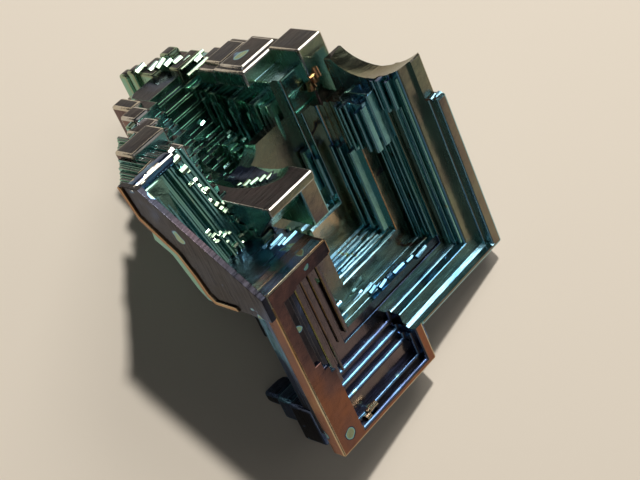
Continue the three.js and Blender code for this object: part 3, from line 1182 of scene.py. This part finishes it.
@dataclass
class Overhangs:
    """The ridge plate over the left arm, and the wedge that overhangs the head of the pit."""

    # the lips of the ridge blocks and of the wedge, near 0, are bare silver: painted highlight
    # along their edges
    ridge: tuple[tuple[Block, Film], ...] = (
        (Block((-1.7, 0.0), (-27.7, BRIDGE), (14.3, RIDGE), 0.12),
         Film(0.30, 0.22, 0.93, 0.5, 0.06)),
        (Block((-2.7, -1.6), (-27.7, BRIDGE), (14.3, RIDGE + 0.02), 0.0),
         Film(0.30, 0.22, 0.97, 0.5, 0.06)),
        (Block((-8.2, -2.6), (-27.7, BRIDGE), (14.3, RIDGE + 0.04), 0.0),
         Film(0.36, 0.22, 0.40, 0.5, 0.06)),
    )
    wedge: Plate = Plate(
        (
            (-12.2, 20.0), (-12.2, 15.0), (-8.0, 15.0), (-6.6, 16.1), (-4.2, 18.2),
            (-3.2, 19.1), (-3.2, 20.0),
        ),
        (-21.6, -15.4),
        0.15,
    )
    pillar: Block = Block((-9.0, -3.3), (-17.6, -15.4), (15.0, 19.5), 0.2)
    scoop: Scoop = Scoop((-10.8, -16.9, 20.6), (5.6, 3.0, 1.9))
    glints: tuple[tuple[Bars, Film], ...] = (
        # blue patch on the ridge plate
        (Bars(5, (-5.4, -21.5, 15.8), (0.42, 0.22, 0.0), (0.36, 0.36), 1.5, Axis.B,
              (0.1, 0.35, 0.05), 0.3, 0.16, 43, 0.06), Film(0.52, 0.5, 0.48, 0.5, 0.50)),
        # beads from the foot of the pillar to the front of the ridge
        (Bars(9, (-6.2, -19.4, 15.5), (0.66, 0.03, 0.0), (0.5, 0.45), 0.9, Axis.C,
              (0.15, 0.2, 0.12), 0.3, 0.14, 61, 0.15), Film(0.66, 0.6, 0.6, 0.5, 0.64)),
        # ticks in the hollow of the wedge
        (Bars(6, (-11.3, -18.2, 18.75), (0.62, 0.5, 0.0), (0.5, 0.4), 1.0, Axis.B,
              (0.08, 0.08, 0.04), 0.1, 0.15, 67, 0.05), Film(0.80, 0.78, 0.8, 0.6, 0.80)),
    )
    wedge_film: Film = Film(0.90, 0.64, 0.40, 0.5, 0.02)
    pillar_film: Film = Film(0.90, 0.70, 0.6, 0.6, 0.6)
    scoop_film: Film = Film(0.78, 0.74, 0.46, 0.6, 0.72)

    def grow(self, cluster: Cluster) -> None:
        """Grows the overhangs.

        Args:
            cluster: the cluster to grow on.
        """
        for block, film in self.ridge:
            cluster.add(Growth.CRUST, film, block)
        cluster.add(Growth.CRUST, self.wedge_film, self.wedge)
        cluster.add(Growth.CRUST, self.pillar_film, self.pillar)
        for bars, film in self.glints:
            cluster.add(Growth.BEADS, film, bars)
        cluster.add(Growth.HOLLOW, self.scoop_film, self.scoop)


# ---------------------------------------------------------------- finishes


def linear(hex_colour: str) -> tuple[float, float, float, float]:
    """Turns an sRGB hex colour to linear.

    Args:
        hex_colour: six hex digits after a hash.

    Returns:
        Red, green, blue and an alpha of one.
    """
    parts = [int(hex_colour[start : start + 2], 16) / 255 for start in (1, 3, 5)]
    red, green, blue = (
        part / 12.92 if part <= 0.04045 else ((part + 0.055) / 1.055) ** 2.4 for part in parts
    )
    return red, green, blue, 1.0


def bare_material(name: str) -> tuple[bpy.types.Material, bpy.types.NodeTree]:
    """Starts a material.

    Args:
        name: name of the material.

    Returns:
        The material and its empty node tree.
    """
    finish = bpy.data.materials.new(name)
    finish.use_nodes = True
    finish.node_tree.nodes.clear()
    return finish, finish.node_tree


@dataclass(frozen=True)
class OxideFilmBismuth:
    """Bismuth frozen out of the melt under a film of its own oxide.

    The metal is a pinkish silver mirror. Its oxide grew on it while it was hot, thicker
    where it stayed hot longer, and light reflected from both sides of the film gives the
    eye one pure colour for each thickness. The facets are bright, a little wavy, and
    finely stepped along the crystal axes.
    """

    scale: tuple[tuple[float, str], ...] = (
        (0.00, "#c6c3be"),
        (0.08, "#c8bb9e"),
        (0.15, "#b28c62"),
        (0.22, "#8f5e45"),
        (0.29, "#6e514c"),
        (0.35, "#3d3539"),
        (0.40, "#2b2a2f"),
        (0.44, "#363843"),
        (0.49, "#56688c"),
        (0.54, "#6a9fbd"),
        (0.59, "#94bfc8"),
        (0.65, "#7fb2b2"),
        (0.72, "#82b09a"),
        (0.79, "#98ae92"),
        (0.86, "#878b72"),
        (0.93, "#7d7364"),
        (1.00, "#685c5e"),
    )
    roughness: Span = (0.13, 0.30)
    patch: float = 5.0  # millimetres across a patch of even colour
    sway: float = 0.05  # how far the film drifts from patch to patch
    blot: float = 3.4  # millimetres from one thick blot of film to the next
    blot_edge: Span = (0.67, 0.72)  # noise where a blot starts, and where it is at its thickest
    blot_gain: float = 0.4
    stria: float = 0.35  # millimetres between growth lines; finer ones wouldn't show
    hot_spot: Triple = (-1.0, -20.5, 9.5)  # where the cluster stayed hot longest
    hot_reach: Span = (3.5, 11.0)  # how far off its extra film starts and ends thinning
    hot_gain: float = 0.14
    stain: Triple = (0.0, -26.0, -2.5)  # a thick spot of film near the low tip
    stain_reach: Span = (1.1, 1.35)
    stain_gain: float = 0.56
    stain_ragged: float = 20.0  # millimetres that its rim shifts by for each unit of drift
    wave: float = 2.2  # millimetres from one slow swell of a facet to the next
    wave_height: float = 0.05  # of those swells, in millimetres
    stria_height: float = 0.04
    stria_stretch: float = 0.12  # thickness of a growth line as a share of its length
    stria_strength: float = 0.9

    def material(self, turn: Matrix, corner: Vector) -> bpy.types.Material:
        """Builds the finish.

        Args:
            turn: rotation from crystal axes to the resting pose.
            corner: where the rim's right foot corner stands, in metres.

        Returns:
            The material.
        """
        finish, tree = bare_material("oxide_film_on_bismuth")
        add = partial(put, tree)
        back = turn.inverted()
        where = add(
            "ShaderNodeMapping", {"vector_type": "POINT"},
            Vector=add("ShaderNodeTexCoord").outputs["Object"],
            Rotation=back.to_euler(), Location=-(back @ corner),
        )
        length = 1 / (self.stria * MM)
        along = self.stria_stretch / (self.stria * MM)
        stretched = add(
            "ShaderNodeMapping", {"vector_type": "POINT"},
            Vector=where, Scale=(length, along, along),
        )
        striae = add(
            "ShaderNodeTexNoise", Vector=stretched, Scale=1.0, Detail=4.0, Roughness=0.6
        )
        waves = add(
            "ShaderNodeTexNoise", Vector=where, Scale=1 / (self.wave * MM), Detail=2.0
        )
        swell = add(
            "ShaderNodeBump", Strength=1.0, Distance=self.wave_height * MM, Height=waves
        )
        grain = add(
            "ShaderNodeBump", Strength=self.stria_strength, Distance=self.stria_height * MM,
            Height=striae, Normal=swell,
        )
        gloss = add(
            "ShaderNodeMapRange", Value=striae, From_Min=0.3, From_Max=0.7,
            To_Min=self.roughness[0], To_Max=self.roughness[1],
        )
        surface = add(
            "ShaderNodeBsdfPrincipled", Base_Color=self.film_colour(tree, where),
            Metallic=1.0, Roughness=gloss, Normal=grain,
        )
        add("ShaderNodeOutputMaterial", Surface=surface)
        return finish

    def film_colour(self, tree: bpy.types.NodeTree, where: bpy.types.Node) -> bpy.types.Node:
        """Turns the thickness of the film to its colour.

        Args:
            tree: the material's node tree.
            where: node that gives the place in crystal axes.

        Returns:
            The node that gives the colour.
        """
        ramp = put(tree, "ShaderNodeValToRGB", Fac=self.film_depth(tree, where))
        band = ramp.color_ramp.elements
        while len(band) > 1:
            band.remove(band[-1])
        (start, bare), *others = self.scale
        band[0].position = start
        band[0].color = linear(bare)
        for position, colour in others:
            band.new(position).color = linear(colour)
        return ramp

    def film_depth(self, tree: bpy.types.NodeTree, where: bpy.types.Node) -> bpy.types.Node:
        """Adds up the film of a facet, its slow drift, the hot spot and the stains.

        Args:
            tree: the material's node tree.
            where: node that gives the place in crystal axes.

        Returns:
            The node that gives the place on the scale of film colours.
        """
        add = partial(put, tree)
        patches = add(
            "ShaderNodeTexNoise",
            Vector=where, Scale=1 / (self.patch * MM), Detail=3.0, Roughness=0.55,
        )
        sway = add(
            "ShaderNodeMapRange", Value=patches, From_Min=0.25, From_Max=0.75,
            To_Min=-self.sway, To_Max=self.sway,
        )
        blots = add(
            "ShaderNodeTexNoise",
            Vector=where, Scale=1 / (self.blot * MM), Detail=2.0, Distortion=0.6,
        )
        off_hot, off_stain = (
            add(
                "ShaderNodeVectorMath", {"operation": "DISTANCE"},
                s0=where, s1=[length * MM for length in spot],
            ).outputs["Value"]
            for spot in (self.hot_spot, self.stain)
        )
        ragged = add(
            "ShaderNodeMath", {"operation": "MULTIPLY_ADD"},
            s0=sway, s1=self.stain_ragged * MM, s2=off_stain,
        )
        hot_edge, stain_edge = (
            [length * MM for length in reach] for reach in (self.hot_reach, self.stain_reach)
        )
        heat, stained, spot = (
            add(
                "ShaderNodeMapRange", {"interpolation_type": "SMOOTHSTEP"},
                Value=value, From_Min=start, From_Max=end, To_Min=first, To_Max=last,
            )
            for value, (start, end), first, last in (
                (off_hot, hot_edge, self.hot_gain, 0.0),
                (blots, self.blot_edge, 0.0, self.blot_gain),
                (ragged, stain_edge, self.stain_gain, 0.0),
            )
        )
        extra = heat
        for more in (stained, spot, sway):
            extra = add("ShaderNodeMath", {"operation": "ADD"}, s0=extra, s1=more)
        film = add("ShaderNodeAttribute", {"attribute_name": "film"})
        return add(
            "ShaderNodeMath", {"operation": "ADD", "use_clamp": True},
            s0=film.outputs["Fac"], s1=extra,
        )


@dataclass(frozen=True)
class MattFloor:
    """Matt painted board, rolled on: an even pale warm white with no gloss."""

    colour: str = "#d8cbb8"
    roughness: float = 0.75

    def material(self) -> bpy.types.Material:
        """Builds the finish.

        Returns:
            The material.
        """
        finish, tree = bare_material("matt_painted_board")
        surface = put(
            tree, "ShaderNodeBsdfPrincipled",
            Base_Color=linear(self.colour), Roughness=self.roughness,
        )
        put(tree, "ShaderNodeOutputMaterial", Surface=surface)
        return finish


# ---------------------------------------------------------------- the stage


@dataclass
class Studio:
    """Pale floor, one main lamp behind the cluster, soft cards around it, and the camera."""

    corner: Vector  # where the rim's right foot corner stands, in metres
    floor_size: float = 0.32
    lamp_way: Triple = (0.03, 0.61, 1.0)
    lamp_distance: float = 0.6
    lamp_size: float = 0.035
    lamp_power: float = 3.2
    cards: tuple[tuple[str, Triple, float, float], ...] = (
        # name, direction, width in metres and watts of each soft card
        ("soft_fill", (0.32, 1.05, 1.0), 0.26, 1.0),
        ("card_right", (0.75, 0.3, 0.6), 0.5, 0.3),
        ("card_low", (0.97, -0.2, 0.03), 0.3, 0.075),
        ("card_front", (0.3, -0.95, 0.3), 0.8, 0.3),
        ("card_over", (-0.1, -0.32, 1.0), 0.3, 0.1),
    )
    sky: str = "#2c2f33"
    camera_from: Triple = (-0.0182, -0.04215, 0.1539)  # from the corner, in metres
    camera_tilt: float = 15.32
    lens: float = 89.75
    nearest: float = 0.005  # metres from the camera at which things start to show
    aim: Triple = (0.0, 0.0, 0.01)  # the point that all lamps are turned to

    def build(self) -> None:
        """Sets up the floor, the lamps, the room's light and the camera."""
        self.lay_floor()
        self.hang_lamp("main_lamp", self.lamp_way, self.lamp_size, self.lamp_power)
        for name, way, size, power in self.cards:
            self.hang_lamp(name, way, size, power)
        room = bpy.data.worlds.new("room")
        room.use_nodes = True
        light = room.node_tree.nodes["Background"].inputs
        light["Color"].default_value = linear(self.sky)
        light["Strength"].default_value = 1.0
        bpy.context.scene.world = room
        bpy.context.scene.view_settings.view_transform = "Standard"
        view = bpy.data.cameras.new("camera")
        view.lens = self.lens
        view.clip_start = self.nearest
        camera = bpy.data.objects.new("camera", view)
        camera.location = self.corner + Vector(self.camera_from)
        camera.rotation_euler = (math.radians(self.camera_tilt), 0.0, 0.0)
        bpy.context.scene.collection.objects.link(camera)
        bpy.context.scene.camera = camera

    def lay_floor(self) -> None:
        """Lays the floor under the cluster."""
        shape = bmesh.new()
        bmesh.ops.create_grid(shape, x_segments=1, y_segments=1, size=self.floor_size / 2)
        mesh = bpy.data.meshes.new("floor")
        shape.to_mesh(mesh)
        shape.free()
        mesh.materials.append(MattFloor().material())
        floor = bpy.data.objects.new("floor", mesh)
        bpy.context.scene.collection.objects.link(floor)

    def hang_lamp(self, name: str, way: Triple, size: float, power: float) -> None:
        """Hangs a lamp that points at the cluster.

        Args:
            name: name of the lamp.
            way: direction from the cluster to the lamp.
            size: width of its lit square in metres.
            power: its power in watts.
        """
        light = bpy.data.lights.new(name, "AREA")
        light.size = size
        light.energy = power
        lamp = bpy.data.objects.new(name, light)
        away = Vector(way).normalized()
        lamp.location = away * self.lamp_distance + Vector(self.aim)
        lamp.rotation_euler = away.to_track_quat("Z", "Y").to_euler()
        bpy.context.scene.collection.objects.link(lamp)


# ---------------------------------------------------------------- assembly


def resting_turn() -> Matrix:
    """Works out how the crystal axes lie in the resting pose.

    Returns:
        The rotation from the crystal axes to the resting pose.
    """
    about_x, about_y, about_z = (
        Matrix.Rotation(math.radians(angle), 4, axis) for angle, axis in RESTING
    )
    return about_x @ about_y @ about_z


def rim_corner(turn: Matrix) -> Vector:
    """Finds where the rim's right foot corner stands, from the frame's box.

    Args:
        turn: rotation from the crystal axes to the resting pose.

    Returns:
        The corner's place in metres. It reaches furthest along X, and the left foot corner
        of the rim reaches furthest along -Y.
    """
    low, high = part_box(NODE)
    left_foot = turn @ Vector(LEFT_FOOT) * MM
    return Vector((high.x, low.y - left_foot.y, LIFT * MM))


def cut_level(mesh: bpy.types.Mesh) -> None:
    """Cuts the cluster flat where it rests on the floor.

    Args:
        mesh: the cluster in its resting pose, in metres.
    """
    shape = bmesh.new()
    shape.from_mesh(mesh)
    everything = list(shape.verts) + list(shape.edges) + list(shape.faces)
    cut = bmesh.ops.bisect_plane(
        shape, geom=everything, plane_co=(0.0, 0.0, 0.0), plane_no=(0.0, 0.0, 1.0),
        clear_inner=True,
    )
    edges = [part for part in cut["geom_cut"] if isinstance(part, bmesh.types.BMEdge)]
    bmesh.ops.holes_fill(shape, edges=edges, sides=0)
    bmesh.ops.dissolve_degenerate(shape, dist=SLIVER, edges=list(shape.edges))
    shape.to_mesh(mesh)
    shape.free()


def place_cluster(mesh: bpy.types.Mesh, turn: Matrix) -> bpy.types.Object:
    """Sets the grown cluster down in its resting pose, with its edges shaded cleanly.

    Args:
        mesh: the solid, in crystal axes and millimetres.
        turn: rotation from the crystal axes to the resting pose.

    Returns:
        The finished object, at the origin, unturned and unscaled.
    """
    mesh.transform(Matrix.Translation(rim_corner(turn)) @ turn @ Matrix.Scale(MM, 4))
    cut_level(mesh)
    mesh.polygons.foreach_set("use_smooth", [True] * len(mesh.polygons))
    mesh.set_sharp_from_angle(angle=math.radians(SHARP_EDGE))
    cluster = bpy.data.objects.new("raw_bismuth", mesh)
    bpy.context.scene.collection.objects.link(cluster)
    even = cluster.modifiers.new("even_flats", "WEIGHTED_NORMAL")
    even.keep_sharp = True
    even.weight = FACE_AREA_WEIGHT
    return cluster


def main() -> None:
    """Builds the cluster and its studio in order."""
    logging.basicConfig(level=logging.INFO, format="%(name)s: %(message)s")
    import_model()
    turn = resting_turn()
    corner = rim_corner(turn)
    Studio(corner=corner).build()
    growth = Cluster()
    sections = (
        GreatHopper(), TerraceRibs(), SmallPit(), Trough(), LeftWall(), Overhangs(),
        SilverHighlightEdges(),
    )
    for part in sections:
        before = len(growth.films)
        part.grow(growth)
        log.info("%s: %d pieces of growth", type(part).__name__, len(growth.films) - before)
    mesh = growth.solid()
    log.info("%d loose pieces shed", growth.shed(mesh))
    growth.coat(mesh)
    cluster = place_cluster(mesh, turn)
    cluster.data.materials.clear()
    cluster.data.materials.append(OxideFilmBismuth().material(turn.to_3x3(), corner))
    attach(cluster, "root")
    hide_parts(NODE)
    triangles = sum(len(face.vertices) - 2 for face in cluster.data.polygons)
    log.info("%s: %d triangles", cluster.name, triangles)


if __name__ == "__main__":
    main()
